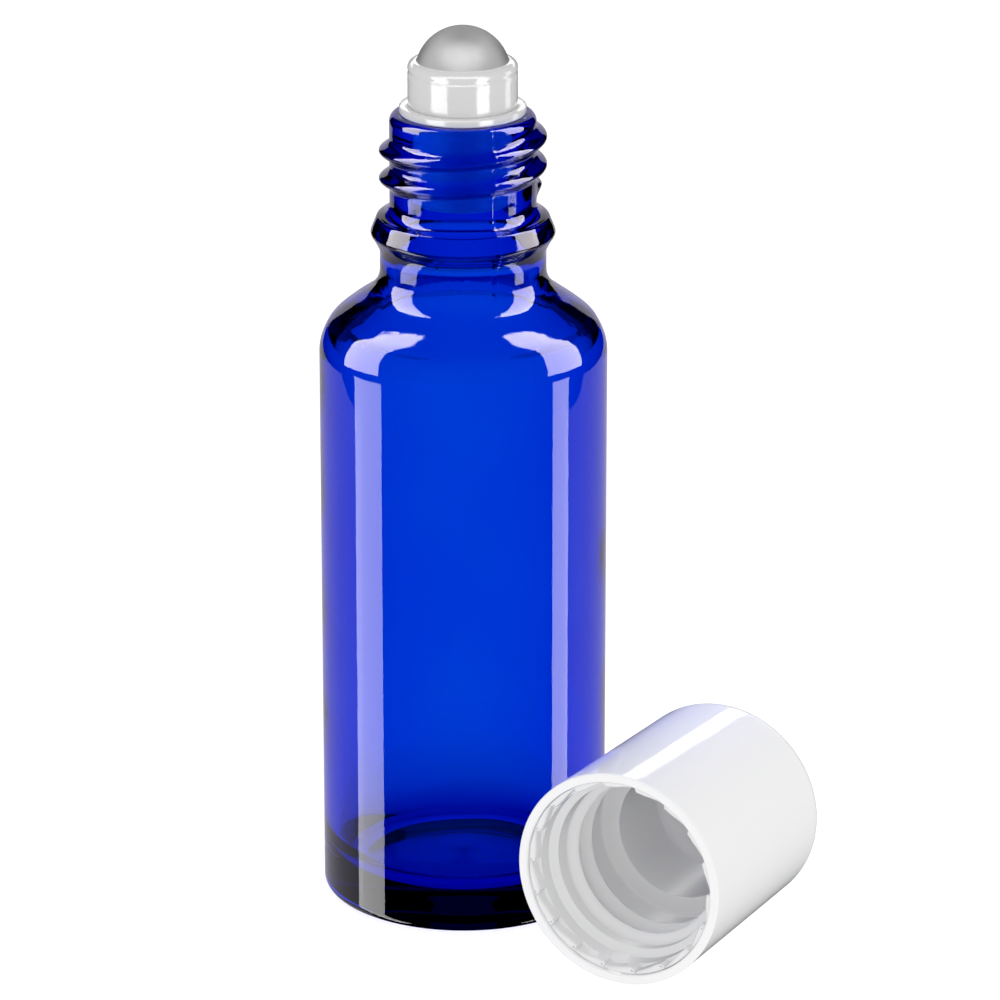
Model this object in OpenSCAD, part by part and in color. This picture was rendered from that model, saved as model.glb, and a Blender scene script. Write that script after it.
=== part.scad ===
// Roll on bottle with its cap taken off and lying beside it.
// Millimetres, +Z up. The origin is the middle of the bottle's foot, on the surface it stands on.
// The cap's axis lies along Y, with its mouth towards -Y.

/* [Glass body] */
// Outside diameter of the body
body_d = 30.4; // [28:0.2:34]
// Thickness of the side wall
glass_wall = 1.8; // [1.4:0.1:2.2]
// Height where the straight side ends
side_h = 60.5; // [50:0.5:70]
// Radius of the convex shoulder
shoulder_r = 5; // [4:0.1:6]
// Radius of the hollow between the shoulder and the neck
neck_blend_r = 3; // [2.2:0.1:4]
// Thickness of the base at its middle
base_t = 4.2; // [3.4:0.1:5]
// Radius of the heel
heel_r = 1.1; // [0.8:0.1:1.6]
// Radius inside, between the base and the side wall
inner_heel_r = 4; // [3:0.1:5]
// Width of the flat foot between the heel and the hollow under the base
foot_w = 2.5; // [2:0.1:4]
// Depth of the hollow under the base
punt_h = 1.2; // [0.6:0.1:1.6]

/* [Neck] */
// Height of the straight collar under the bead
collar_h = 2.7; // [2:0.1:4]
// Outside diameter of the collar under the bead
collar_d = 17.5; // [17:0.1:18.4]
// Outside diameter of the bead
bead_d = 19.4; // [19:0.1:19.6]
// Diameter at the top of the bead's sloping face
bead_top_d = 18.3; // [17.9:0.1:18.6]
// Height of the bead, from its underside to its top edge
bead_h = 3.4; // [3:0.1:4]
// Radius of the bead's lower edge
bead_low_r = 0.6; // [0.4:0.05:0.7]
// Radius of the bead's upper edge
bead_top_r = 0.45; // [0.3:0.05:0.55]
// Height of the threaded finish above the bead
finish_h = 11; // [10.5:0.1:12]
// Outside diameter of the neck between the threads
finish_d = 15.4; // [15:0.1:15.8]
// Radius of the hollow where the neck meets the bead
finish_blend_r = 0.9; // [0.6:0.05:1]
// Height of the thread over the neck
thread_h = 1.1; // [0.8:0.05:1.15]
// Width of the thread where it leaves the neck
thread_w = 2; // [1.6:0.1:2.2]
// Rise of both threads in one turn
pitch = 3; // [2.8:0.1:3.2]
// Height of the thread's start above the bead
thread_up = 2.7; // [2.4:0.1:3]
// Rounding of the rim
rim_r = 0.9; // [0.5:0.05:0.95]
// Diameter of the bore that the housing is pressed in
bore_d = 10.8; // [10.4:0.1:11.2]
// Length of the straight bore
bore_l = 10.4; // [10:0.1:11]
// Rounding of the bore's mouth
bore_edge = 0.3; // [0.2:0.05:0.4]

/* [Ball and housing] */
// Diameter of the rolling ball
ball_d = 10; // [9.6:0.1:10.2]
// Running clearance round the ball
ball_gap = 0.06; // [0.03:0.01:0.09]
// Height of the ball's centre above the rim
ball_up = 4.2; // [4:0.1:4.6]
// How far the lip reaches above the ball's centre
lip_up = 1.4; // [1.1:0.1:1.8]
// Outside diameter of the barrel
barrel_d = 11.5; // [11.3:0.1:12]
// Rounding of the barrel's top edge
barrel_edge = 0.75; // [0.4:0.05:0.85]
// Width of the flat top of the lip
lip_land = 0.14; // [0.1:0.02:0.2]
// Diameter of the flange on the rim
flange_d = 13.3; // [13:0.1:13.6]
// Thickness of the flange
flange_t = 0.85; // [0.7:0.05:1]
// Rounding of the flange's edges
flange_edge = 0.2; // [0.1:0.05:0.3]
// Length of the plug in the neck
plug_l = 9.4; // [9:0.1:10]
// Gap between the plug and the bore, between the rings
plug_gap = 0.15; // [0.1:0.01:0.2]
// How far the sealing rings press into the bore
ring_bite = 0.04; // [0.02:0.01:0.05]
// Height of each sealing ring
ring_h = 0.9; // [0.6:0.1:1]
// Distance between the sealing rings
ring_pitch = 2.1; // [1.8:0.1:2.4]
// Wall of the plug
plug_wall = 1.05; // [0.9:0.05:1.3]
// Taper at the plug's lower end
plug_lead = 0.6; // [0.4:0.1:1]
// Wall under the ball
cup_floor = 0.9; // [0.7:0.1:1.2]
// Diameter of the feed hole under the ball
feed_d = 4.4; // [4:0.1:4.8]

/* [Cap] */
// Outside diameter of the cap at its mouth
cap_d = 23.2; // [23:0.1:24.4]
// Length of the cap
cap_l = 26; // [25.8:0.1:27]
// Draft of the cap's side, in degrees
cap_draft = 0.8; // [0.4:0.1:1.2]
// Wall of the outer shell
shell_wall = 1; // [0.9:0.05:1.1]
// Thickness of the shell's closed end
shell_end = 1; // [0.8:0.1:1.2]
// Rounding of the closed end's edge
end_edge = 1.5; // [1:0.1:2]
// Rounding of the mouth's edges
mouth_edge = 0.25; // [0.15:0.05:0.35]
// Running gap between the shell and the insert
insert_gap = 0.04; // [0.02:0.01:0.08]
// How far the insert lies inside the mouth
insert_in = 0.4; // [0.3:0.1:0.6]
// Bevel inside the insert's mouth
mouth_bevel = 0.45; // [0.3:0.05:0.5]
// Gap between the insert's mouth and the bead
bead_gap = 0.2; // [0.15:0.05:0.25]
// Number of ratchet teeth
tooth_n = 18; // [12:1:24]
// Length of the ratchet teeth along the axis
tooth_l = 1.5; // [1.2:0.1:2.4]
// Depth of the ratchet teeth
tooth_h = 0.44; // [0.2:0.02:0.5]
// Length of the wide mouth before the thread
mouth_l = 3.6; // [3.4:0.1:4]
// Diameter of the insert between its threads
thread_d = 18.3; // [18:0.1:18.6]
// Height of the cap's thread over the insert's wall
cap_thread_h = 0.95; // [0.7:0.05:1]
// Width of the cap's thread where it leaves the wall
cap_thread_w = 1.7; // [1.2:0.1:1.8]
// Length from the mouth to the start of the cap's thread
cap_thread_in = 5.8; // [5.6:0.1:6.2]
// Diameter of the chamber over the ball
chamber_d = 14.2; // [13.9:0.1:14.4]
// Wall round the chamber
chamber_wall = 1; // [0.8:0.1:1.2]
// Gap between the closed cap and the ball's top
ball_top_gap = 0.4; // [0.3:0.1:0.6]
// Gap between the bottle and the cap that lies beside it
beside_gap = 0.4; // [0.3:0.1:2]
// How far the cap's mouth lies in front of the bottle's axis
cap_forward = 17; // [0:0.5:40]

/* [Hidden] */
$fn = 96;

// Slope of the straight part of the shoulder, as an angle of its normal above level
shoulder_turn = 53.5;
// Angles of the bead's faces, of their normals above level
bead_under_turn = -50;
bead_face_turn = 14;
bead_top_turn = 76;
// Steps along a rounded edge, a wide curve and a spherical seat
edge_steps = 6;
curve_steps = 12;
seat_steps = 18;
// How far a cut runs past the face that it leaves
overrun = 1;
// Rise at the middle of the base inside, as a share of its thickness
base_dome_share = 0.14;
// Length of a ratchet tooth's ramp, as a share of the space for a tooth
ramp_share = 0.7;
// Turns of the two threads, the turn that each fades out over, and steps in a turn
glass_turns = 2.15;
cap_turns = 2.1;
fade_turns = 0.12;
turn_steps = 24;
// Direction in which the glass thread starts
thread_start = 58;
// Height of a thread at its very ends, and depth of its foot in the wall, as shares of its height
thin_share = 0.12;
foot_share = 0.04;
// Outline of a thread: shares of its width along the axis, and of its height
thread_shares = [[-0.5, 0], [-0.34, 0.5], [-0.16, 0.93], [0, 1], [0.16, 0.93], [0.34, 0.5], [0.5, 0]];

body_r = body_d / 2;
punt_r = body_r - heel_r - foot_w;
collar_r = collar_d / 2;
bead_r = bead_d / 2;
finish_r = finish_d / 2;
bore_r = bore_d / 2;
ball_r = ball_d / 2;

// The shoulder is an arc, a straight slope and a hollow arc that ends at the collar.
shoulder_end = [body_r - shoulder_r + shoulder_r * cos(shoulder_turn),
    side_h + shoulder_r * sin(shoulder_turn)];
blend_low_r = collar_r + neck_blend_r * (1 - cos(shoulder_turn));
collar_z = shoulder_end.y + (shoulder_end.x - blend_low_r) / tan(shoulder_turn)
    + neck_blend_r * sin(shoulder_turn);
bead_z = collar_z + collar_h;
bead_top_z = bead_z + bead_h;
glass_h = bead_top_z + finish_h;

ball_z = glass_h + ball_up;
seat_r = ball_r + ball_gap;
lip_z = ball_z + lip_up;
lip_r = sqrt(seat_r * seat_r - lip_up * lip_up);
barrel_r = barrel_d / 2;
feed_r = feed_d / 2;
plug_r = bore_r - plug_gap;
plug_in_r = plug_r - plug_wall;
plug_z = glass_h - plug_l;
cup_floor_z = ball_z - seat_r - cup_floor;

cap_r = cap_d / 2;
shell_in_r = cap_r - shell_wall;
// Closed, the chamber's step sits on the rim and the chamber's end clears the ball.
mouth_to_end = cap_l - shell_end;
chamber_end = mouth_to_end - chamber_wall;
step_at = chamber_end - (ball_up + ball_r + ball_top_gap);
insert_mouth_r = bead_r + bead_gap;
thread_r = thread_d / 2;
chamber_r = chamber_d / 2;
chamber_out_r = chamber_r + chamber_wall;
tooth_turn = 360 / tooth_n;
ramp_turn = tooth_turn * ramp_share;

// Points along an arc about c, from angle a0 to angle a1
function arc(c, r, a0, a1, n) =
    [for (i = [0:n]) c + r * [cos(a0 + (a1 - a0) * i / n), sin(a0 + (a1 - a0) * i / n)]];

// Radius that the cap's draft gives at a distance from the mouth
function drafted(r, z) = r - z * tan(cap_draft);

// Height share of a thread at a step, which falls to nothing at both ends
function fade(i, n) = min(1, min(i, n - i) / (fade_turns * turn_steps));

// A ridge of height h and width w that winds up a wall of radius r, outwards for h over zero
module thread(r, h, w, turns, sink) {
    n = round(turns * turn_steps);
    m = len(thread_shares);
    points = [for (i = [0:n], j = [-1:m])
        let (q = thread_shares[max(0, min(m - 1, j))])
        let (foot = j < 0 || j == m)
        let (rr = foot ? r - sink : r + h * (q.y * max(fade(i, n), thin_share) - foot_share))
        let (a = i * 360 / turn_steps)
        [rr * cos(a), rr * sin(a), pitch * i / turn_steps + q.x * w]];
    k = m + 2;
    sides = [for (i = [0:n - 1], j = [0:k - 1]) each
        let (a = i * k + j, b = i * k + (j + 1) % k)
        [[a, b, b + k], [a, b + k, a + k]]];
    faces = concat(sides, [[for (j = [0:k - 1]) k - 1 - j]], [[for (j = [0:k - 1]) n * k + j]]);
    polyhedron(points, h > 0 ? faces : [for (f = faces) [for (j = [len(f) - 1:-1:0]) f[j]]]);
}

// Outline of the glass outside, from the middle of the base to the rim
function glass_outside() = concat(
    arc([0, punt_h - punt_sphere], punt_sphere, 90, 90 - punt_turn, edge_steps),
    arc([body_r - heel_r, heel_r], heel_r, -90, 0, edge_steps),
    arc([body_r - shoulder_r, side_h], shoulder_r, 0, shoulder_turn, curve_steps),
    arc([collar_r + neck_blend_r, collar_z], neck_blend_r, 180 + shoulder_turn, 180, curve_steps),
    [[collar_r, bead_z]],
    arc([bead_r - bead_low_r, bead_z + bead_low_r + bead_r - collar_r],
        bead_low_r, bead_under_turn, bead_face_turn, edge_steps),
    arc([bead_top_d / 2 - bead_top_r, bead_top_z - bead_top_r],
        bead_top_r, bead_face_turn, bead_top_turn, edge_steps),
    arc([finish_r + finish_blend_r, bead_top_z + finish_blend_r],
        finish_blend_r, 180 + bead_top_turn, 180, edge_steps),
    arc([finish_r - rim_r, glass_h - rim_r], rim_r, 0, 90, edge_steps)
);
// The hollow under the base is part of a sphere.
punt_sphere = (punt_r * punt_r + punt_h * punt_h) / (2 * punt_h);
punt_turn = asin(punt_r / punt_sphere);

// Outline of the glass inside, from the rim down to the middle of the base
function glass_inside() = concat(
    arc([bore_r + bore_edge, glass_h - bore_edge], bore_edge, 90, 180, edge_steps),
    [[bore_r, glass_h - bore_l], [collar_r - glass_wall, bead_z]],
    arc([collar_r + neck_blend_r, collar_z], neck_blend_r + glass_wall, 180, 180 + shoulder_turn,
        curve_steps),
    arc([body_r - shoulder_r, side_h], shoulder_r - glass_wall, shoulder_turn, 0, curve_steps),
    arc([body_r - glass_wall - inner_heel_r, base_t * (1 - base_dome_share) + inner_heel_r],
        inner_heel_r, 0, -90, curve_steps),
    [[0, base_t]]
);

module glass_bottle() {
    color([0.02, 0.16, 0.8, 0.6])
        rotate_extrude()
            polygon(concat(glass_outside(), glass_inside()));
    color([0.02, 0.16, 0.8, 0.6])
        translate([0, 0, bead_top_z + thread_up])
            rotate(thread_start)
                thread(finish_r, thread_h, thread_w, glass_turns, rim_r);
}

// Plug, flange, barrel and lip, closed at the middle: the hollows are cut after.
module housing_solid() {
    rotate_extrude()
        polygon(concat(
            [[0, plug_z], [plug_r - plug_lead, plug_z], [plug_r, plug_z + plug_lead]],
            [[plug_r, glass_h]],
            arc([flange_d / 2 - flange_edge, glass_h + flange_edge], flange_edge, -90, 0, edge_steps),
            arc([flange_d / 2 - flange_edge, glass_h + flange_t - flange_edge],
                flange_edge, 0, 90, edge_steps),
            arc([barrel_r + flange_edge, glass_h + flange_t + flange_edge],
                flange_edge, 270, 180, edge_steps),
            arc([lip_r + lip_land, lip_z - barrel_edge], barrel_edge, 0, 90, curve_steps),
            [[0, lip_z]]
        ));
    for (i = [0:2])
        translate([0, 0, plug_z + plug_lead + ring_h + i * ring_pitch])
            sealing_ring();
}

// One rounded ring that bites into the neck's bore
module sealing_ring() {
    rotate_extrude()
        polygon([[plug_in_r + plug_wall / 2, -ring_h / 2], [plug_r, -ring_h / 2],
            [bore_r + ring_bite, -ring_h / 6], [bore_r + ring_bite, ring_h / 6],
            [plug_r, ring_h / 2], [plug_in_r + plug_wall / 2, ring_h / 2]]);
}

// Bore of the plug, feed hole and the seat that holds the ball
module housing_hollow() {
    translate([0, 0, plug_z - overrun])
        cylinder(r = plug_in_r, h = cup_floor_z - plug_z + overrun);
    translate([0, 0, cup_floor_z - overrun])
        cylinder(r = feed_r, h = ball_z - cup_floor_z + overrun);
    rotate_extrude()
        polygon(concat([[0, ball_z - seat_r]],
            arc([0, ball_z], seat_r, -90, asin(lip_up / seat_r), seat_steps),
            [[lip_r, lip_z + overrun], [0, lip_z + overrun]]));
}

module ball_housing() {
    color([0.93, 0.93, 0.92])
        difference() {
            housing_solid();
            housing_hollow();
        }
}

module roller_ball() {
    color([0.72, 0.72, 0.72])
        translate([0, 0, ball_z])
            sphere(d = ball_d);
}

// Lays a cap that was drawn upright, mouth down, on its side beside the bottle.
// The draft turns it a little more, so that its whole side rests on the surface.
module lie_beside() {
    translate([body_r + beside_gap + cap_r, -cap_forward, cap_r * cos(cap_draft)])
        rotate([-90 - cap_draft, 0, 0])
            children();
}

module cap_shell() {
    color([0.97, 0.97, 0.97])
        lie_beside()
            rotate_extrude()
                polygon(concat(
                    arc([cap_r - mouth_edge, mouth_edge], mouth_edge, -90, 0, edge_steps),
                    arc([drafted(cap_r, cap_l) - end_edge, cap_l - end_edge],
                        end_edge, 0, 90, curve_steps),
                    [[0, cap_l], [0, mouth_to_end], [drafted(shell_in_r, mouth_to_end), mouth_to_end]],
                    arc([shell_in_r + mouth_edge, mouth_edge], mouth_edge, 180, 270, edge_steps)
                ));
}

// Threaded sleeve, step and chamber, without the teeth
module insert_solid() {
    rotate_extrude()
        polygon([
            [shell_in_r - insert_gap, insert_in],
            [drafted(shell_in_r, step_at + chamber_wall) - insert_gap, step_at + chamber_wall],
            [chamber_out_r, step_at + chamber_wall],
            [chamber_out_r, mouth_to_end],
            [0, mouth_to_end],
            [0, chamber_end],
            [chamber_r, chamber_end],
            [chamber_r, step_at],
            [thread_r, step_at],
            [thread_r, mouth_l + insert_mouth_r - thread_r],
            [insert_mouth_r, mouth_l],
            [insert_mouth_r, insert_in + mouth_bevel],
            [insert_mouth_r + mouth_bevel, insert_in]
        ]);
}

// One ratchet notch: a steep face, and a ramp that runs out from its foot
module ratchet_notch() {
    translate([0, 0, insert_in - overrun])
        linear_extrude(height = tooth_l + overrun)
            polygon([
                [insert_mouth_r - tooth_h, 0],
                [insert_mouth_r + tooth_h, 0],
                (insert_mouth_r - tooth_h / 2) * [cos(ramp_turn), sin(ramp_turn)],
                (insert_mouth_r - tooth_h) * [cos(ramp_turn), sin(ramp_turn)]
            ]);
}

module cap_insert() {
    color([0.9, 0.9, 0.9])
        lie_beside()
            difference() {
                insert_solid();
                for (i = [0:tooth_n - 1])
                    rotate(i * tooth_turn)
                        mirror([0, 1, 0])
                            ratchet_notch();
            }
    color([0.9, 0.9, 0.9])
        lie_beside()
            translate([0, 0, cap_thread_in])
                thread(thread_r, -cap_thread_h, cap_thread_w, cap_turns, -chamber_wall / 2);
}

glass_bottle();
ball_housing();
roller_ball();
cap_shell();
cap_insert();
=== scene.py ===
# %% [markdown]
# # A roll on bottle with its cap off
#
# The object is a slim cobalt glass bottle. A plastic housing is pressed into its neck and holds
# a steel ball, and the glossy cap lies beside it with its open end towards us.
# The CAD model gives the sizes and places, and this lesson dresses it with glass, steel and
# plastic.

import math

import bmesh
import bpy
from mathutils import Matrix, Vector, noise


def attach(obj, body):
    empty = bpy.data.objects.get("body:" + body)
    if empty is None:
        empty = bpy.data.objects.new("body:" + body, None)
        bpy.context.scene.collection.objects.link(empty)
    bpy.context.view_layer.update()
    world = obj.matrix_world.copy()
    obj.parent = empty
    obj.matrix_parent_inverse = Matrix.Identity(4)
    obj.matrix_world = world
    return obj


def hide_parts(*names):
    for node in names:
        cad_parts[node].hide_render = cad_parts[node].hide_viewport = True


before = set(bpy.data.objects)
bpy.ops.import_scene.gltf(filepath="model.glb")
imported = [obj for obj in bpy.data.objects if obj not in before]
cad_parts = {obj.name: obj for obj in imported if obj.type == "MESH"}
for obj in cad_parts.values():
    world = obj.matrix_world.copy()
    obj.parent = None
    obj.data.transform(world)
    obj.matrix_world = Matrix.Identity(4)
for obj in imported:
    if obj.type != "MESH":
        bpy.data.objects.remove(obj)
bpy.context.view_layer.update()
scene = bpy.context.scene
print("CAD nodes:", ", ".join(sorted(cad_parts)))

# %% [markdown]
# ## Outlines to turn on a lathe
#
# Almost every part of a bottle is round, so a maker would turn it. Here an outline of a few
# points stands in the plane y = 0, in millimetres, and the Spin operator turns it about Z.
# Roundings are short arcs in the outline: that costs less than a bevel and keeps rings even.

# %% Outline helpers
MM = 0.001


def arc(centre, radius, start, end, steps=6):
    """Points on a rounding, with its angles in degrees above the horizontal."""
    turns = [math.radians(start + (end - start) * i / steps) for i in range(steps + 1)]
    return [(centre[0] + radius * math.cos(a), centre[1] + radius * math.sin(a)) for a in turns]


def outline_of(points, closed=False):
    """A bmesh that holds one outline."""
    bm = bmesh.new()
    verts = [bm.verts.new((r, 0, z)) for r, z in points]
    ends = verts[1:] + verts[:1] if closed else verts[1:]
    for a, b in zip(verts, ends):
        bm.edges.new((a, b))
    return bm


def split_outline(bm, gap, low=-1e3, high=1e3, inner=0, outer=1e3):
    """Cuts the outline's long edges between two heights and radii into pieces of about gap."""
    for edge in list(bm.edges):
        r, _, z = (edge.verts[0].co + edge.verts[1].co) / 2
        cuts = int(edge.calc_length() / gap)
        if cuts and low <= z <= high and inner <= r <= outer:
            bmesh.ops.subdivide_edges(bm, edges=[edge], cuts=cuts)


print("a quarter of a rounding has", len(arc((0, 0), 1, 0, 90)), "points")

# %% [markdown]
# ## From outline to finished piece
#
# Spin leaves doubled points where it closes and faces that may point inwards, so these are
# merged and turned outwards first. Smooth shading hides the facets, and edges sharper than a
# given angle stay crisp. Weighted normals keep the flat stretches flat beside small roundings.

# %% Lathe and finishing helpers
MERGE = 1e-4


def spin_round(bm, steps):
    """Turns the outline into a closed solid."""
    geom = bm.verts[:] + bm.edges[:]
    bmesh.ops.spin(bm, geom=geom, cent=(0, 0, 0), axis=(0, 0, 1), angle=math.tau,
                   steps=steps, use_merge=True)
    bmesh.ops.remove_doubles(bm, verts=bm.verts, dist=MERGE)
    bmesh.ops.recalc_face_normals(bm, faces=bm.faces)


def push_out(vert, out):
    """Moves a point away from the axis."""
    if out:
        r = math.hypot(vert.co.x, vert.co.y)
        vert.co.x *= 1 + out / r
        vert.co.y *= 1 + out / r


def piece_from(bm, name, material, body, node, sharp=38, place=Matrix.Identity(4)):
    """Makes the bmesh a finished piece: in metres, in place, smooth, and riding on its body."""
    bmesh.ops.transform(bm, matrix=place, verts=bm.verts)
    bmesh.ops.scale(bm, vec=(MM, MM, MM), verts=bm.verts)
    for face in bm.faces:
        face.smooth = True
    for edge in bm.edges:
        edge.smooth = len(edge.link_faces) == 2 and edge.calc_face_angle(0) < math.radians(sharp)
    mesh = bpy.data.meshes.new(name)
    bm.to_mesh(mesh)
    bm.free()
    mesh.materials.append(material)
    piece = bpy.data.objects.new(name, mesh)
    scene.collection.objects.link(piece)
    piece.modifiers.new("even_shading", "WEIGHTED_NORMAL").keep_sharp = True
    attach(piece, body)
    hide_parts(node)
    print(name, len(mesh.polygons), "faces")


# %% [markdown]
# ## A screw thread as a raised band
#
# The bottle's thread is moulded with the neck, so it has no seam at its foot. A separate ridge
# would leave a seam that glass shows. Instead the neck gets fine rings, and each point moves
# outwards by the height that the thread has there.

# %% Height of a thread at a point on a wall
def smooth_step(x):
    """0 below 0, 1 above 1, and an even bend in between."""
    x = min(1, max(0, x))
    return x * x * (3 - 2 * x)


def thread_at(co, start_turn, start_z, turns, pitch, width, fade=0.08):
    """How high the thread stands at a point, from 0 to 1. It winds up to the right."""
    turn = (math.degrees(math.atan2(co.y, co.x)) - start_turn) % 360 / 360
    best = 0
    while turn <= turns:
        off = (co.z - start_z - pitch * turn) / width
        if abs(off) < 0.5:
            ends = smooth_step(turn / fade) * smooth_step((turns - turn) / fade)
            best = max(best, math.cos(math.pi * off) ** 2 * ends)
        turn += 1
    return best


print("the crest, a turn up, stands at", thread_at(Vector((1, 0, 1)), 0, 0, 2, 1, 1), "of its height")

# %% [markdown]
# ## Finishes
#
# Every finish here is one Principled shader with a little unevenness, because a surface that is
# the same all over looks computed. The unevenness is noise on Object coordinates, so it stays
# with a piece when its body moves.

# %% Material helpers
def new_material(name, colour, roughness, **inputs):
    """A Principled material, with its node tree and shader."""
    material = bpy.data.materials.new(name)
    material.use_nodes = True
    tree = material.node_tree
    shader = tree.nodes["Principled BSDF"]
    shader.inputs["Base Color"].default_value = (*colour, 1)
    shader.inputs["Roughness"].default_value = roughness
    for socket, value in inputs.items():
        shader.inputs[socket.replace("_", " ")].default_value = value
    print("material", name)
    return material, tree, shader


def noise_on(tree, scale, stretch=(1, 1, 1), detail=3):
    """Noise in the piece's own space, in about scale features a metre."""
    coords = tree.nodes.new("ShaderNodeTexCoord")
    mapping = tree.nodes.new("ShaderNodeMapping")
    mapping.inputs["Scale"].default_value = stretch
    grain = tree.nodes.new("ShaderNodeTexNoise")
    grain.inputs["Scale"].default_value = scale
    grain.inputs["Detail"].default_value = detail
    tree.links.new(coords.outputs["Object"], mapping.inputs["Vector"])
    tree.links.new(mapping.outputs["Vector"], grain.inputs["Vector"])
    return grain.outputs["Fac"]


def bump(tree, shader, height, strength, distance):
    """Lets a height pattern tilt the surface."""
    node = tree.nodes.new("ShaderNodeBump")
    node.inputs["Strength"].default_value = strength
    node.inputs["Distance"].default_value = distance
    tree.links.new(height, node.inputs["Height"])
    tree.links.new(node.outputs["Normal"], shader.inputs["Normal"])


# %% Helpers for sums and ranges of values
def math_of(tree, operation, a, b):
    """One sum or product of two values, each a socket or a number."""
    node = tree.nodes.new("ShaderNodeMath")
    node.operation = operation
    for socket, value in zip(node.inputs, (a, b)):
        if isinstance(value, (int, float)):
            socket.default_value = value
        else:
            tree.links.new(value, socket)
    return node.outputs[0]


def ranged(tree, value, start, end, low=0, high=1, smooth=False):
    """A value that goes from low to high while another goes from start to end."""
    node = tree.nodes.new("ShaderNodeMapRange")
    node.interpolation_type = "SMOOTHSTEP" if smooth else "LINEAR"
    limits = {"From Min": start, "From Max": end, "To Min": low, "To Max": high}
    for name, number in limits.items():
        node.inputs[name].default_value = number
    tree.links.new(value, node.inputs["Value"])
    return node.outputs["Result"]


def vary(tree, value, low, high, target):
    """Carries a 0 to 1 value to a socket as a range."""
    tree.links.new(ranged(tree, value, 0, 1, low, high), target)


def tint(tree, value, first, last, target):
    """Carries a 0 to 1 value to a colour socket as a blend of two colours."""
    blend = tree.nodes.new("ShaderNodeValToRGB")
    blend.color_ramp.elements[0].color = (*first, 1)
    blend.color_ramp.elements[1].color = (*last, 1)
    tree.links.new(value, blend.inputs["Fac"])
    tree.links.new(blend.outputs["Color"], target)


# %% [markdown]
# ## Cobalt glass
#
# Cobalt glass is clear: its colour comes from light that is lost on the way through, so thick
# places look navy and thin ones bright. Volume Absorption does just that. On top of it a navy
# tint is painted into the glass's colour: painted shade on the flanks of the neck and the thread,
# where they turn edge on, and a darker tint towards the foot. Small ripples break the neck's
# glints.

# %% The glass and its volume
cobalt, tree, shader = new_material(
    "cobalt_glass", (1, 1, 1), 0.0, Transmission_Weight=1.0, IOR=1.5)
absorb = tree.nodes.new("ShaderNodeVolumeAbsorption")
absorb.inputs["Color"].default_value = (0, 0.66, 0.956, 1)
absorb.inputs["Density"].default_value = 2500
tree.links.new(absorb.outputs["Volume"], tree.nodes["Material Output"].inputs["Volume"])
print("glass absorbs", absorb.inputs["Density"].default_value, "per metre of red")

# %% Where the glass is tinted and rippled
# Heights are in metres. Flanks go from 0, which faces the viewer, to 1, which is edge on.
NAVY = (0.03, 0.04, 0.3)
NECK_FADE, THREAD_FADE, FOOT_FADE = (0.059, 0.066), (0.0745, 0.077), (0.0125, 0.0045)
NECK_FLANK, THREAD_FLANK = (0.6, 0.95), (0.34, 0.66)
THREAD_TINT, FOOT_TINT, NECK_RIPPLE = 0.88, 0.42, 0.45

coords = tree.nodes.new("ShaderNodeTexCoord")
place = tree.nodes.new("ShaderNodeSeparateXYZ")
tree.links.new(coords.outputs["Object"], place.inputs["Vector"])
height = place.outputs["Z"]
facing = tree.nodes.new("ShaderNodeLayerWeight").outputs["Facing"]

on_neck = ranged(tree, height, *NECK_FADE, smooth=True)
on_thread = ranged(tree, height, *THREAD_FADE, smooth=True)
on_foot = ranged(tree, height, *FOOT_FADE, smooth=True)
# Painted shade: the flanks of the neck and the thread turn navy as they go edge on, and the glass gets
# darker towards the foot.
neck_flank_shade = math_of(tree, "MULTIPLY", on_neck, ranged(tree, facing, *NECK_FLANK, smooth=True))
ridge = math_of(tree, "MULTIPLY", on_thread, ranged(tree, facing, *THREAD_FLANK, smooth=True))
painted_flank_shade = math_of(tree, "MAXIMUM", neck_flank_shade, math_of(tree, "MULTIPLY", ridge, THREAD_TINT))
dark = math_of(tree, "MAXIMUM", painted_flank_shade, math_of(tree, "MULTIPLY", on_foot, FOOT_TINT))
tint(tree, dark, (1, 1, 1), NAVY, shader.inputs["Base Color"])

ripple = math_of(tree, "MULTIPLY", on_neck, noise_on(tree, 700, stretch=(1, 1, 0.6), detail=4))
waves = math_of(tree, "ADD", noise_on(tree, 60), math_of(tree, "MULTIPLY", ripple, NECK_RIPPLE))
bump(tree, shader, waves, strength=0.12, distance=0.0004)
print("the glass has", len(tree.nodes), "nodes")

# %% [markdown]
# ## Steel
#
# The ball is blasted steel, so its gloss is soft and finely grained. Coarse noise changes how
# soft the gloss is from place to place, and fine noise stands for the grain itself.

# %% Satin steel
steel, tree, shader = new_material("satin_steel", (0.62, 0.62, 0.62), 0.5, Metallic=1.0)
vary(tree, noise_on(tree, 900, detail=6), 0.44, 0.58, shader.inputs["Roughness"])
bump(tree, shader, noise_on(tree, 5000, detail=4), strength=0.15, distance=0.00002)

# %% [markdown]
# ## Three white plastics
#
# The housing is natural plastic that lets a little light in, which Subsurface gives. The cap's
# shell is polished and slightly wavy from moulding, and its insert is duller, because nobody
# polishes the inside of a cap.

# %% Plastics
housing_white, tree, shader = new_material(
    "housing_plastic", (0.67, 0.67, 0.67), 0.11, Subsurface_Weight=0.15, Subsurface_Scale=0.0006,
    Subsurface_Radius=(1, 1, 1))
vary(tree, noise_on(tree, 400), 0.08, 0.15, shader.inputs["Roughness"])
bump(tree, shader, noise_on(tree, 350), strength=0.1, distance=0.0001)

cap_white, tree, shader = new_material("cap_gloss", (0.92, 0.92, 0.92), 0.09)
vary(tree, noise_on(tree, 220), 0.04, 0.09, shader.inputs["Roughness"])
bump(tree, shader, noise_on(tree, 110), strength=0.16, distance=0.0002)

insert_white, tree, shader = new_material("insert_plastic", (0.85, 0.85, 0.85), 0.2)
vary(tree, noise_on(tree, 500), 0.18, 0.3, shader.inputs["Roughness"])
bump(tree, shader, noise_on(tree, 420), strength=0.1, distance=0.0001)

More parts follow.
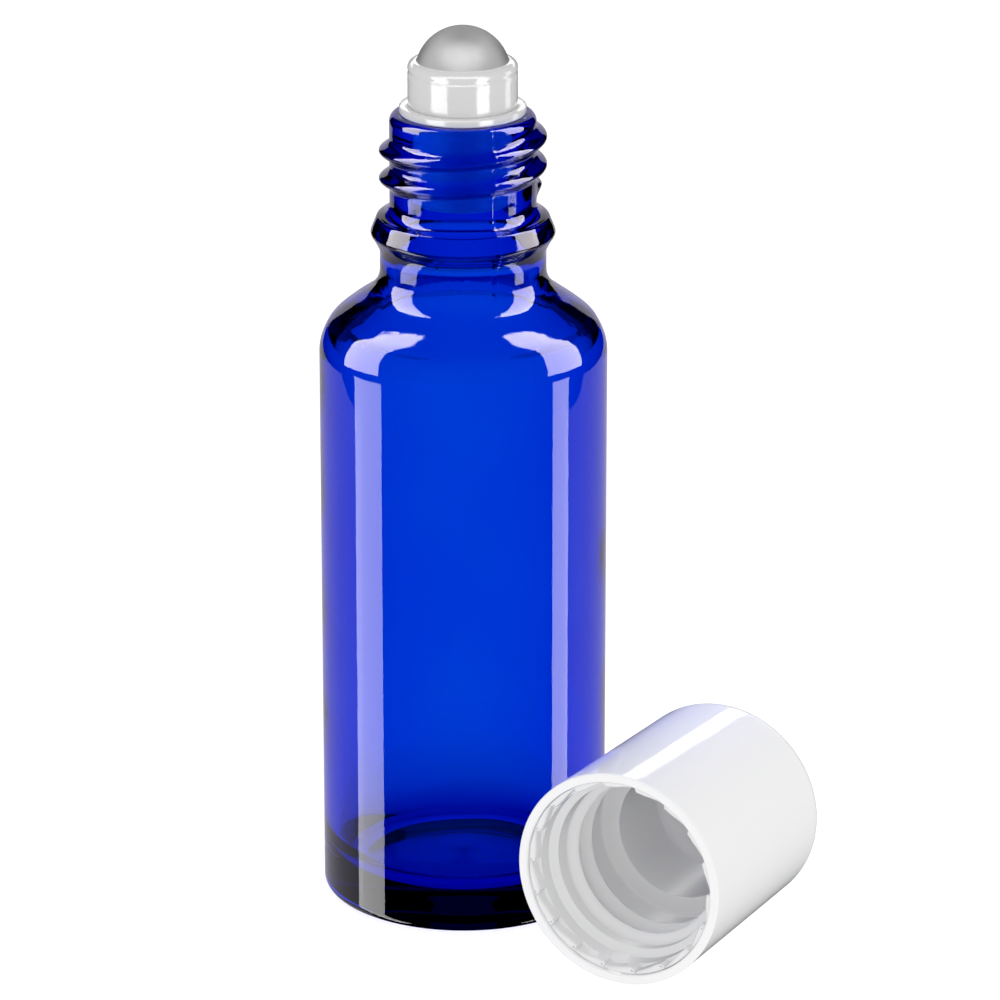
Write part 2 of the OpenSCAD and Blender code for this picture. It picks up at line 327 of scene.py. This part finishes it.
# %% [markdown]
# ## The glass bottle
#
# One closed outline runs from the middle of the base, up the outside, over the rim, and down
# the inside. Drawing the inner wall too gives real thickness, which is what makes glass look
# like glass: the thick base, the wall's bright edges and the hollow shoulder all come from it.

# %% Sizes of the glass, in millimetres and degrees
BODY_R, WALL, SIDE_H = 15.2, 1.8, 60.5
SHOULDER_R, SLOPE = 5.0, 53.5
COLLAR_R, COLLAR_H, BLEND_R = 8.75, 2.7, 3.0
BASE_T, BASE_EDGE_SHARE, HEEL_R, INNER_HEEL_R = 4.2, 0.86, 1.1, 4.0
PUNT_R, PUNT_H = 11.6, 1.2
BEAD_R, BEAD_TOP_R, BEAD_H = 9.7, 9.15, 3.4
BEAD_EDGE, BEAD_TOP_EDGE, BEAD_TUCK, BEAD_LEAN = 0.6, 0.45, 0.3, 14
FINISH_R, FINISH_H, FINISH_HOLLOW, RIM_EDGE = 7.7, 11.0, 1.4, 0.9
BORE_R, BORE_L, BORE_EDGE = 5.4, 10.4, 0.3

slope = math.radians(SLOPE)
shoulder_end = (BODY_R - SHOULDER_R + SHOULDER_R * math.cos(slope),
                SIDE_H + SHOULDER_R * math.sin(slope))
COLLAR_Z = (shoulder_end[1] + BLEND_R * math.sin(slope)
            + (shoulder_end[0] - COLLAR_R - BLEND_R * (1 - math.cos(slope))) / math.tan(slope))
BEAD_Z = COLLAR_Z + COLLAR_H
BEAD_TOP_Z = BEAD_Z + BEAD_H
GLASS_H = BEAD_TOP_Z + FINISH_H

# %% [markdown]
# ## The shoulder's slope
#
# Blown glass doesn't follow a ruler: the slope between shoulder and collar is a hair full, and
# the hollow above it is a little wider outside than inside. So the straight stretch of the
# outline gets points that can bulge, and the outer hollow has a radius of its own.

# %% Slope of the shoulder
FULL_FROM, FULL_TO, FULL_OUT, FULL_UP = 62.3, 68.9, 0.22, 0.16
OUTER_BLEND, SLOPE_PARTS = 3.8, 14


def fuller(point):
    """A point of the outline, moved out where the slope is full."""
    r, z = point
    share = 0
    if FULL_FROM < z < FULL_TO:
        share = math.sin(math.pi * (z - FULL_FROM) / (FULL_TO - FULL_FROM)) ** 2
    return r + FULL_OUT * share, z + FULL_UP * share


rise = math.sin(slope) - (1 - math.cos(slope)) / math.tan(slope)
outer_z = COLLAR_Z + (OUTER_BLEND - BLEND_R) * rise
slope_end = (COLLAR_R + OUTER_BLEND * (1 - math.cos(slope)), outer_z - OUTER_BLEND * math.sin(slope))
straight = [tuple(a + (b - a) * i / SLOPE_PARTS for a, b in zip(shoulder_end, slope_end))
            for i in range(1, SLOPE_PARTS)]
print("the slope is", round(math.dist(shoulder_end, slope_end), 2), "mm long")

# %% Outline of the glass
punt = (PUNT_R ** 2 + PUNT_H ** 2) / (2 * PUNT_H)
punt_turn = math.degrees(math.asin(PUNT_R / punt))
bead_in = (BEAD_R - BEAD_EDGE, BEAD_Z + BEAD_EDGE + BEAD_R - COLLAR_R)
bead_top_in = (BEAD_TOP_R - BEAD_TOP_EDGE, BEAD_TOP_Z - BEAD_TOP_EDGE)
outside = (
    arc((0, PUNT_H - punt), punt, 90, 90 - punt_turn, 8)
    + arc((BODY_R - HEEL_R, HEEL_R), HEEL_R, -90, 0, 10)
    + arc((BODY_R - SHOULDER_R, SIDE_H), SHOULDER_R, 0, SLOPE, 24)
    + straight
    + arc((COLLAR_R + OUTER_BLEND, outer_z), OUTER_BLEND, 180 + SLOPE, 180, 20)
    + [(COLLAR_R, BEAD_Z - BEAD_TUCK)]
    + arc(bead_in, BEAD_EDGE, -50, BEAD_LEAN, 10)
    + arc(bead_top_in, BEAD_TOP_EDGE, BEAD_LEAN, 90 - BEAD_LEAN, 8)
    + arc((FINISH_R + FINISH_HOLLOW, BEAD_TOP_Z + FINISH_HOLLOW), FINISH_HOLLOW,
          270 - BEAD_LEAN, 180, 12)
    + arc((FINISH_R - RIM_EDGE, GLASS_H - RIM_EDGE), RIM_EDGE, 0, 90, 8))
inner_heel = (BODY_R - WALL - INNER_HEEL_R, BASE_T * BASE_EDGE_SHARE + INNER_HEEL_R)
inside = (
    arc((BORE_R + BORE_EDGE, GLASS_H - BORE_EDGE), BORE_EDGE, 90, 180, 6)
    + [(BORE_R, GLASS_H - BORE_L), (COLLAR_R - WALL, BEAD_Z)]
    + arc((COLLAR_R + BLEND_R, COLLAR_Z), BLEND_R + WALL, 180, 180 + SLOPE, 20)
    + arc((BODY_R - SHOULDER_R, SIDE_H), SHOULDER_R - WALL, SLOPE, 0, 16)
    + arc(inner_heel, INNER_HEEL_R, 0, -90, 16)
    + [(0, BASE_T)])
glass_outline = [fuller(point) for point in outside] + inside
print("glass outline:", len(glass_outline), "points")

# %% [markdown]
# ## What the mould leaves
#
# A bottle is blown in a mould of two halves. They leave the thread and a fine seam down two
# sides of the neck, while the inner wall is never touched by a tool and stays a little wavy.
# All three are worked out for each point of the turned glass, so they have no edges.

# %% Thread, seam and waves of the glass
THREAD_H, THREAD_W, PITCH = 1.1, 2.5, 3.0
THREAD_START, THREAD_UP, THREAD_TURNS, THREAD_FROM = 23, 2.41, 2.247, BEAD_TOP_Z + 0.4
SEAM_TURN, SEAM_SPREAD, SEAM_H, SEAM_FROM, SEAM_FADE = -38.75, 0.9, 0.07, 65, 6
WAVE_H, WAVES_PER_MM, WAVE_TOP = 0.1, 0.11, SIDE_H + 6
OUTER_NECK = FINISH_R - 0.95


def seam_at(co):
    """How high the mould's seam stands at a point, from 0 to 1."""
    turn = math.degrees(math.atan2(co.y, co.x)) - SEAM_TURN
    off = [(turn + side) % 360 - 180 for side in (0, 180)]
    near = max(math.exp(-(degrees / SEAM_SPREAD) ** 2) for degrees in off)
    return near * smooth_step((co.z - SEAM_FROM) / SEAM_FADE)


def moulded_out(co):
    """How far out a point of the turned glass moves."""
    r = math.hypot(co.x, co.y)
    out = 0
    if co.z > THREAD_FROM and r > OUTER_NECK:
        out += THREAD_H * thread_at(
            co, THREAD_START, BEAD_TOP_Z + THREAD_UP, THREAD_TURNS, PITCH, THREAD_W)
    if co.z > SIDE_H and r > OUTER_NECK:
        out += SEAM_H * seam_at(co)
    if co.z < WAVE_TOP and 1 <= r < BODY_R - 1:
        out += WAVE_H * noise.noise(co * WAVES_PER_MM)
    return out


print("the thread rises", round(PITCH * THREAD_TURNS, 2), "mm in all")

# %% Spin the glass
THREAD_GAP, INNER_GAP, SIDE_GAP, GLASS_STEPS = 0.14, 1.4, 4.5, 288
glass = outline_of(glass_outline)
split_outline(glass, THREAD_GAP, BEAD_TOP_Z + 0.5, GLASS_H, inner=OUTER_NECK)
split_outline(glass, INNER_GAP, 0, BEAD_TOP_Z, outer=BODY_R - 1)
split_outline(glass, SIDE_GAP)
spin_round(glass, GLASS_STEPS)
for vert in glass.verts:
    push_out(vert, moulded_out(vert.co))
piece_from(glass, "bottle_glass", cobalt, "bottle", "glass_bottle")

# %% [markdown]
# ## The housing
#
# The housing is one turned part: a plug with three sealing rings in the neck, a flange on the
# rim, and a barrel whose lip reaches past the ball's middle, so that the ball can roll but not
# fall out. Fine grooves at the barrel's foot and lip give it the lines that a mould leaves.

# %% Sizes of the housing
BALL_R, SEAT_R, BALL_Z, LIP_UP = 5.0, 5.06, GLASS_H + 4.2, 1.4
PLUG_R, PLUG_IN_R, PLUG_Z, PLUG_LEAD = BORE_R - 0.15, BORE_R - 1.2, GLASS_H - 9.4, 0.6
RING_N, RING_PITCH, RING_UP = 3, 2.1, 1.5
RING_R, RING_H, RING_TOP = BORE_R - 0.01, 0.9, 0.3
FLANGE_R, FLANGE_EDGE, FLANGE_Z, RIM_GAP = 6.65, 0.2, GLASS_H + 0.85, 0.02
BARREL_R, GROOVE_R, LIP_GROOVE_R = 5.75, 5.62, 5.68
LIP_Z, LIP_EDGE, LIP_LAND = BALL_Z + LIP_UP, 0.75, 0.14
CUP_END, FLOOR_Z, FEED_R = -64, BALL_Z - SEAT_R - 0.9, 2.2
lip_r = math.sqrt(SEAT_R ** 2 - LIP_UP ** 2)
print("the lip reaches", LIP_UP, "mm past the ball's middle")

# %% Outline of the plug and its flange
plug = [(PLUG_IN_R, PLUG_Z), (PLUG_R - PLUG_LEAD, PLUG_Z), (PLUG_R, PLUG_Z + PLUG_LEAD)]
for k in range(RING_N):
    ring_z = PLUG_Z + RING_UP + RING_PITCH * k
    plug += [(PLUG_R, ring_z - RING_H / 2), (RING_R, ring_z - RING_TOP / 2),
             (RING_R, ring_z + RING_TOP / 2), (PLUG_R, ring_z + RING_H / 2)]
flange_in = FLANGE_R - FLANGE_EDGE
flange = (
    [(PLUG_R, GLASS_H + RIM_GAP)]
    + arc((flange_in, GLASS_H + RIM_GAP + FLANGE_EDGE), FLANGE_EDGE, -90, 0)
    + arc((flange_in, FLANGE_Z - FLANGE_EDGE), FLANGE_EDGE, 0, 90))
print("the plug has", RING_N, "rings")

# %% Outline of the barrel and the cup, and the spin
foot_groove = [(BARREL_R + 0.1, FLANGE_Z), (GROOVE_R, FLANGE_Z - 0.05), (BARREL_R, FLANGE_Z + 0.15)]
lip_groove = [(BARREL_R, LIP_Z - 1.35), (LIP_GROOVE_R, LIP_Z - 1.25), (LIP_GROOVE_R, LIP_Z - 1.1)]
cup = (
    arc((lip_r + LIP_LAND, LIP_Z - LIP_EDGE), LIP_EDGE, -14, 90, 14)
    + arc((0, BALL_Z), SEAT_R, math.degrees(math.asin(LIP_UP / SEAT_R)), CUP_END, 28)
    + [(FEED_R, FLOOR_Z), (PLUG_IN_R, FLOOR_Z)])
housing = outline_of(plug + flange + foot_groove + lip_groove + cup, closed=True)
split_outline(housing, 0.5)
spin_round(housing, 160)
piece_from(housing, "ball_socket", housing_white, "bottle", "ball_housing")

# %% [markdown]
# ## The ball
#
# The ball is a ground sphere, left free in its seat by a hair. Its rings of faces are fine
# enough that its edge looks round, and the steel's grain gives it its surface.

# %% Ball
ball = bmesh.new()
bmesh.ops.create_uvsphere(ball, u_segments=96, v_segments=48, radius=BALL_R,
                          matrix=Matrix.Translation((0, 0, BALL_Z)))
piece_from(ball, "steel_ball", steel, "ball", "roller_ball")

# %% [markdown]
# ## The cap
#
# The cap is two pieces: a glossy outer shell and a threaded insert, with a fine groove between
# them inside the mouth. Both are turned upright, mouth down, and laid on their side last, with
# the small extra turn that the draft of the side asks for.

# %% Where the cap lies
CAP_R, CAP_L, DRAFT, CAP_GAP, CAP_Y = 11.6, 26.0, 0.8, 0.4, -17
lean = math.radians(DRAFT)
beside = (Matrix.Translation((BODY_R + CAP_GAP + CAP_R, CAP_Y, CAP_R * math.cos(lean)))
          @ Matrix.Rotation(-math.pi / 2 - lean, 4, "X"))


def drafted(r, z):
    """The radius that the draft leaves at a height above the mouth."""
    return r - z * math.tan(lean)


print("cap axis is", round(beside.translation.x, 2), "mm to the side")

# %% Shell
SHELL_IN, SHELL_TOP, END_EDGE, MOUTH_EDGE = CAP_R - 1, CAP_L - 1, 1.5, 0.25
shell_outline = (
    arc((CAP_R - MOUTH_EDGE, MOUTH_EDGE), MOUTH_EDGE, -90, 0)
    + arc((drafted(CAP_R, CAP_L) - END_EDGE, CAP_L - END_EDGE), END_EDGE, 0, 90, 14)
    + [(0, CAP_L), (0, SHELL_TOP), (drafted(SHELL_IN, SHELL_TOP), SHELL_TOP)]
    + arc((SHELL_IN + MOUTH_EDGE, MOUTH_EDGE), MOUTH_EDGE, 180, 270))
shell = outline_of(shell_outline, closed=True)
split_outline(shell, 1.5)
spin_round(shell, 192)
piece_from(shell, "cap_shell_gloss", cap_white, "cap", "cap_shell", place=beside)

# %% [markdown]
# ## The insert
#
# From its mouth upwards the insert has a ring of ratchet teeth, a bore with the thread that
# grips the neck, a step that sits on the glass rim, and a chamber that clears the ball. The
# teeth and the thread are pushed out of the turned walls, like the thread on the glass.

# %% Sizes of the insert
STEP, SKIRT_TOP, END, TOP = 14.4, 15.4, CAP_L - 2, SHELL_TOP - 0.02
MOUTH_R, MOUTH_L, MOUTH_IN, MOUTH_BEVEL = 9.9, 3.6, 0.4, 0.45
BORE_WALL, BORE_FROM, CHAMBER_R, CHAMBER_OUT = 9.15, 4.35, 7.1, 8.1
CHAMBER_EDGE, STEP_IN_EDGE, STEP_OUT_EDGE = 0.8, 0.2, 0.3
SKIRT_GAP, MOUTH_GAP = 0.08, 0.05
TEETH, TOOTH_H, TOOTH_L, TOOTH_SHARE = 18, 0.5, 1.5, 0.7
CAP_THREAD_H, CAP_THREAD_W, CAP_THREAD_UP, CAP_TURNS, CAP_FADE = 0.95, 2.1, 5.8, 2.1, 0.1
TOOTH_END = MOUTH_IN + TOOTH_L
print("each tooth takes", 360 / TEETH, "degrees")

# %% Outline of the insert
insert_outline = (
    [(drafted(SHELL_IN, SKIRT_TOP) - SKIRT_GAP, SKIRT_TOP), (CHAMBER_OUT, SKIRT_TOP),
     (CHAMBER_OUT, TOP), (0, TOP), (0, END)]
    + arc((CHAMBER_R - CHAMBER_EDGE, END - CHAMBER_EDGE), CHAMBER_EDGE, 90, 0)
    + arc((CHAMBER_R + STEP_IN_EDGE, STEP + STEP_IN_EDGE), STEP_IN_EDGE, 180, 270)
    + arc((BORE_WALL - STEP_OUT_EDGE, STEP - STEP_OUT_EDGE), STEP_OUT_EDGE, 90, 0)
    + [(BORE_WALL, BORE_FROM), (MOUTH_R, MOUTH_L), (MOUTH_R, TOOTH_END + 0.05), (MOUTH_R, TOOTH_END)]
    + arc((MOUTH_R + MOUTH_BEVEL, MOUTH_IN + MOUTH_BEVEL), MOUTH_BEVEL, 180, 270)
    + [(SHELL_IN - MOUTH_GAP, MOUTH_IN + MOUTH_GAP)])
print("insert outline:", len(insert_outline), "points")

# %% How far the insert's walls move
INNER_WALL, OUTER_WALL = 9, SHELL_IN - 0.1


def tooth_out(co, r):
    """How far out a point of the mouth moves to cut the notch before a ratchet tooth."""
    share = 1 - (math.degrees(math.atan2(co.y, co.x)) % (360 / TEETH)) * TEETH / 360
    return max(0, min(TOOTH_H * (1 - share / TOOTH_SHARE), OUTER_WALL - r))


def insert_out(co):
    """How far out a point of the insert moves. Its thread moves in, towards the neck."""
    r = math.hypot(co.x, co.y)
    if not INNER_WALL < r < OUTER_WALL:
        return 0
    if co.z > 4.2:
        return -CAP_THREAD_H * thread_at(co, 0, CAP_THREAD_UP, CAP_TURNS, PITCH, CAP_THREAD_W, CAP_FADE)
    return tooth_out(co, r) if co.z < TOOTH_END + 0.03 else 0


print("the cap's thread rises", round(PITCH * CAP_TURNS, 2), "mm in all")

# %% Spin the insert
insert = outline_of(insert_outline, closed=True)
split_outline(insert, 0.16, 4.3, STEP - STEP_OUT_EDGE)
split_outline(insert, 0.5, 0, 3.7)
spin_round(insert, TEETH * 16)
for vert in insert.verts:
    push_out(vert, insert_out(vert.co))
piece_from(insert, "cap_thread_insert", insert_white, "cap", "cap_insert",
           sharp=30, place=beside)

# %% [markdown]
# ## Camera
#
# The picture was taken from about 19 degrees above the table with a long lens. The bottle's
# rims and base give the height, distance and focal length. The cap lies a little further out
# than in the picture, so the lens is a few per cent shorter, and a small shift keeps the frame.

# %% Camera, in degrees, metres and millimetres of lens
VIEW_TURN, VIEW_UP, DISTANCE = 28, 18.97, 0.604
PHOTO_LENS, SHORTER, SHIFT = 210.5, 0.971, -0.0209
AIM_RIGHT, AIM_UP = 0.00387, 0.046
right = Vector((math.cos(math.radians(VIEW_TURN)), math.sin(math.radians(VIEW_TURN)), 0))
towards = Vector((-right.y, right.x, 0))
up = Vector((0, 0, 1))
look = towards * math.cos(math.radians(VIEW_UP)) - up * math.sin(math.radians(VIEW_UP))
camera = bpy.data.objects.new("camera", bpy.data.cameras.new("camera"))
scene.collection.objects.link(camera)
camera.location = right * AIM_RIGHT + up * AIM_UP - look * DISTANCE
camera.rotation_euler = (math.radians(90 - VIEW_UP), 0, math.radians(VIEW_TURN))
camera.data.lens = PHOTO_LENS * SHORTER
camera.data.shift_y = SHIFT
scene.camera = camera
print("camera at", [round(x, 4) for x in camera.location], "lens", round(camera.data.lens, 1))

# %% [markdown]
# ## Floor
#
# A product picture is taken on a bright sweep that runs out to white. A wide floor that is lit
# and also glows gives that, with only a breath of shadow. It glows a little more for the camera
# than for the object, and mirror rays don't see it, so the glass keeps its dark edges.

# %% Floor
scene.view_settings.view_transform = "Standard"


def stage_plate(bm, name, finish, colour):
    """Makes the bmesh a plate of the stage, dull and glowing white."""
    mesh = bpy.data.meshes.new(name)
    bm.to_mesh(mesh)
    bm.free()
    material, tree, shader = new_material(finish, colour, 0.6)
    shader.inputs["Emission Color"].default_value = (1, 1, 1, 1)
    vary(tree, noise_on(tree, 3), 0.55, 0.65, shader.inputs["Roughness"])
    mesh.materials.append(material)
    plate = bpy.data.objects.new(name, mesh)
    scene.collection.objects.link(plate)
    return plate, tree, shader


disc = bmesh.new()
bmesh.ops.create_circle(disc, cap_ends=True, segments=96, radius=6)
table_top, tree, shader = stage_plate(disc, "table_top", "pale_table", (0.5, 0.5, 0.5))
for_camera = tree.nodes.new("ShaderNodeLightPath").outputs["Is Camera Ray"]
vary(tree, for_camera, 0.6, 0.69, shader.inputs["Emission Strength"])
table_top.visible_glossy = False
print("floor is", round(table_top.dimensions.x, 1), "m across")

# %% [markdown]
# ## Surround
#
# Gloss and clear glass see a black room with boxes and sheets of light in it, while light that
# has met a dull surface sees white. So the plastics are lit softly, and the glass keeps dark
# edges. The plug behind the thick neck gets some more light, as from a lamp set close to it.

# %% Surround
PLUG_LIGHT = 1.45
scene.world = bpy.data.worlds.new("surround")
scene.world.use_nodes = True
tree = scene.world.node_tree
background = tree.nodes["Background"]
background.inputs["Color"].default_value = (1, 1, 1, 1)
path = tree.nodes.new("ShaderNodeLightPath").outputs
not_yet_dull = ranged(tree, path["Diffuse Depth"], 0, 1, 1, 0)
mirrored = math_of(tree, "MULTIPLY", path["Is Glossy Ray"], not_yet_dull)
through_glass = math_of(tree, "MULTIPLY", path["Is Transmission Ray"], path["Diffuse Depth"])
room = ranged(tree, mirrored, 0, 1, 1, 0)
plug_light = ranged(tree, through_glass, 0, 1, 1, PLUG_LIGHT)
tree.links.new(math_of(tree, "MULTIPLY", room, plug_light), background.inputs["Strength"])
print("the surround has", len(tree.nodes), "nodes")

# %% [markdown]
# ## Soft boxes
#
# Clear glass has no shape without something to reflect, and each finish wants its own boxes.
# In a studio they would be flagged off from the other pieces. Here Light Linking does that:
# each box is an area light that only the gloss of some pieces sees, and none casts a shadow.

# %% A soft box
def seen_from_camera(place):
    """A place given as (right, back, up) from the bottle's foot, as the viewer sees it."""
    return right * place[0] + towards * place[1] + up * place[2]


def only_for(light, pieces):
    """Links a light to some pieces, so that it lights no other."""
    group = bpy.data.collections.new(light.name + "_pieces")
    for piece in pieces:
        group.objects.link(bpy.data.objects[piece])
    light.light_linking.receiver_collection = group
    for child in group.collection_objects:
        child.light_linking.link_state = "INCLUDE"


def soft_box(name, lights, low, high, width, brightness, aim_at=(0, 0, 0.07),
             colour=(1, 1, 1), foot=1):
    """A flat box of light from one place up to another, which faces a third. Its low end gives
    the share foot of its brightness."""
    low, high, target = (seen_from_camera(place) for place in (low, high, aim_at))
    middle = (low + high) / 2
    tall = high - low
    along = tall.normalized()
    away = middle - target
    back = (away - along * away.dot(along)).normalized()
    lamp = bpy.data.lights.new(name, "AREA")
    lamp.shape, lamp.size, lamp.size_y = "RECTANGLE", width, tall.length
    lamp.energy = brightness * math.pi * width * tall.length
    lamp.color = colour
    lamp.use_shadow = False
    lamp.use_nodes = True
    tree = lamp.node_tree
    split = tree.nodes.new("ShaderNodeSeparateXYZ")
    on_box = tree.nodes.new("ShaderNodeNewGeometry").outputs["Parametric"]
    tree.links.new(on_box, split.inputs["Vector"])
    vary(tree, split.outputs["Y"], foot, 1, tree.nodes["Emission"].inputs["Strength"])
    box = bpy.data.objects.new(name, lamp)
    scene.collection.objects.link(box)
    box.matrix_world = Matrix((along.cross(back), along, back)).transposed().to_4x4()
    box.location = middle
    box.visible_camera = box.visible_diffuse = box.visible_transmission = False
    only_for(box, lights)
    print(name, "is", width, "by", round(tall.length, 2), "m")


# %% [markdown]
# ## Strips and windows for the glass
#
# Two strips give the body its long pale lines. They reach below the table, as around a small
# stand, so the lines run to the heel. Two windows lean outwards over them, brighter towards
# their tops, and give the crescents on the shoulder and the neck.

# %% Strips and windows
on_glass = ["bottle_glass"]
STRIP_FOOT, STRIP_TOP, STRIP_AIM = -0.8, -0.035, (0, 0, -0.425)
soft_box("left_strip", on_glass, (-0.3955, -0.06, STRIP_FOOT), (-0.3955, -0.06, STRIP_TOP),
         width=0.196, brightness=5, aim_at=STRIP_AIM)
soft_box("right_strip", on_glass, (0.3974, -0.0453, STRIP_FOOT), (0.3974, -0.0453, STRIP_TOP),
         width=0.116, brightness=5, aim_at=STRIP_AIM)
for name, side in (("left_window", -1), ("right_window", 1)):
    soft_box(name, on_glass, (0.3682 * side, 0.0215, 0.043), (0.355 * side, 0.146, 0.717),
             width=0.355, brightness=14, aim_at=(0.03 * side, 0.454, 0.323),
             colour=(1, 0.95, 1), foot=0.6)

# %% [markdown]
# ## Boxes for the plastics
#
# One wide box behind everything draws the bright line along the cap. The housing has upright
# bands of its own on both sides and behind it, and a low box in front, so that its barrel shows
# the soft stripes of a real studio.

# %% Boxes for the plastics
plastics, on_housing = ["ball_socket", "cap_shell_gloss", "cap_thread_insert"], ["ball_socket"]
BAND_FOOT, BAND_TOP = -0.6, 0.2
soft_box("back_window", plastics, (0, 0.45, 0.205), (0, 0.45, 0.27), width=0.8, brightness=3.2)
soft_box("socket_left", on_housing, (-0.306, -0.257, BAND_FOOT), (-0.306, -0.257, BAND_TOP),
         width=0.26, brightness=8)
soft_box("socket_right", on_housing, (0.275, -0.29, BAND_FOOT), (0.275, -0.29, BAND_TOP),
         width=0.19, brightness=9)
soft_box("socket_front", on_housing, (0, -0.36, 0.2), (0, -0.24, 0.38), width=0.7, brightness=6)
soft_box("socket_far", on_housing, (0.38, 0.13, BAND_FOOT), (0.38, 0.13, BAND_TOP),
         width=0.12, brightness=3)

# %% [markdown]
# ## Boxes for the ball
#
# Satin steel blurs what it mirrors, so the ball needs only broad, weak boxes all round it. It
# looks round because they are bright in front and on top and dim behind.

# %% Boxes for the ball
on_ball, BALL_AIM = ["steel_ball"], (0, 0, 0.09)
soft_box("ball_front", on_ball, (0, -0.5, 0.15), (0, -0.03, 0.56), 0.66, 1.4, BALL_AIM)
soft_box("ball_back", on_ball, (0, 0.46, 0.16), (0, 0.14, 0.54), 0.6, 0.45, BALL_AIM)
for name, side, brightness in (("ball_left", -1, 0.78), ("ball_right", 1, 0.7)):
    soft_box(name, on_ball, (0.49 * side, 0, -0.01), (0.24 * side, 0, 0.53), 0.6, brightness, BALL_AIM)

# %% [markdown]
# ## A white sheet for the glass
#
# In a studio a sheet of paper lies under a bottle and goes up behind it. Glass mirrors it at
# its edges, which would otherwise be lost in the dark room. Here two weak, bluish boxes are
# the lying and the standing part of the sheet.

# %% Sheet
SHEET_COLOUR = (0.88, 0.84, 1)
soft_box("sheet_below", on_glass, (0, -0.0103, -0.002), (0, 0.6, -0.002),
         width=0.38, brightness=0.62, aim_at=(0, 0.295, 0.4), colour=SHEET_COLOUR)
soft_box("sheet_behind", on_glass, (0, 0.6, 0), (0, 0.6, 0.6),
         width=0.56, brightness=0.75, colour=SHEET_COLOUR)

# %% [markdown]
# ## A bright middle behind the glass
#
# In the picture the body glows blue in its middle and stays dark at its edges, so what stands
# behind it is bright only in the middle. A narrow glowing plate does that, and only rays that
# go through the glass see it. In the picture the glass doesn't mirror the cap either, so mirror
# rays pass the cap's pieces.

# %% Bright middle
MIDDLE_HALF, MIDDLE_FOOT, MIDDLE_TOP, MIDDLE_BACK = 0.09, -0.01, 0.35, 0.6
corners = ((-MIDDLE_HALF, MIDDLE_FOOT), (MIDDLE_HALF, MIDDLE_FOOT),
           (MIDDLE_HALF, MIDDLE_TOP), (-MIDDLE_HALF, MIDDLE_TOP))
panel = bmesh.new()
panel.faces.new([panel.verts.new(seen_from_camera((x, MIDDLE_BACK, z))) for x, z in corners])
bright_middle, tree, shader = stage_plate(panel, "bright_middle", "middle_glow", (0.01, 0.01, 0.01))
shader.inputs["Emission Strength"].default_value = 0.75
bright_middle.visible_camera = bright_middle.visible_diffuse = False
bright_middle.visible_glossy = bright_middle.visible_shadow = False
for name in ("cap_shell_gloss", "cap_thread_insert"):
    bpy.data.objects[name].visible_glossy = False
print("the bright middle is", round(2 * MIDDLE_HALF / MM), "mm wide")
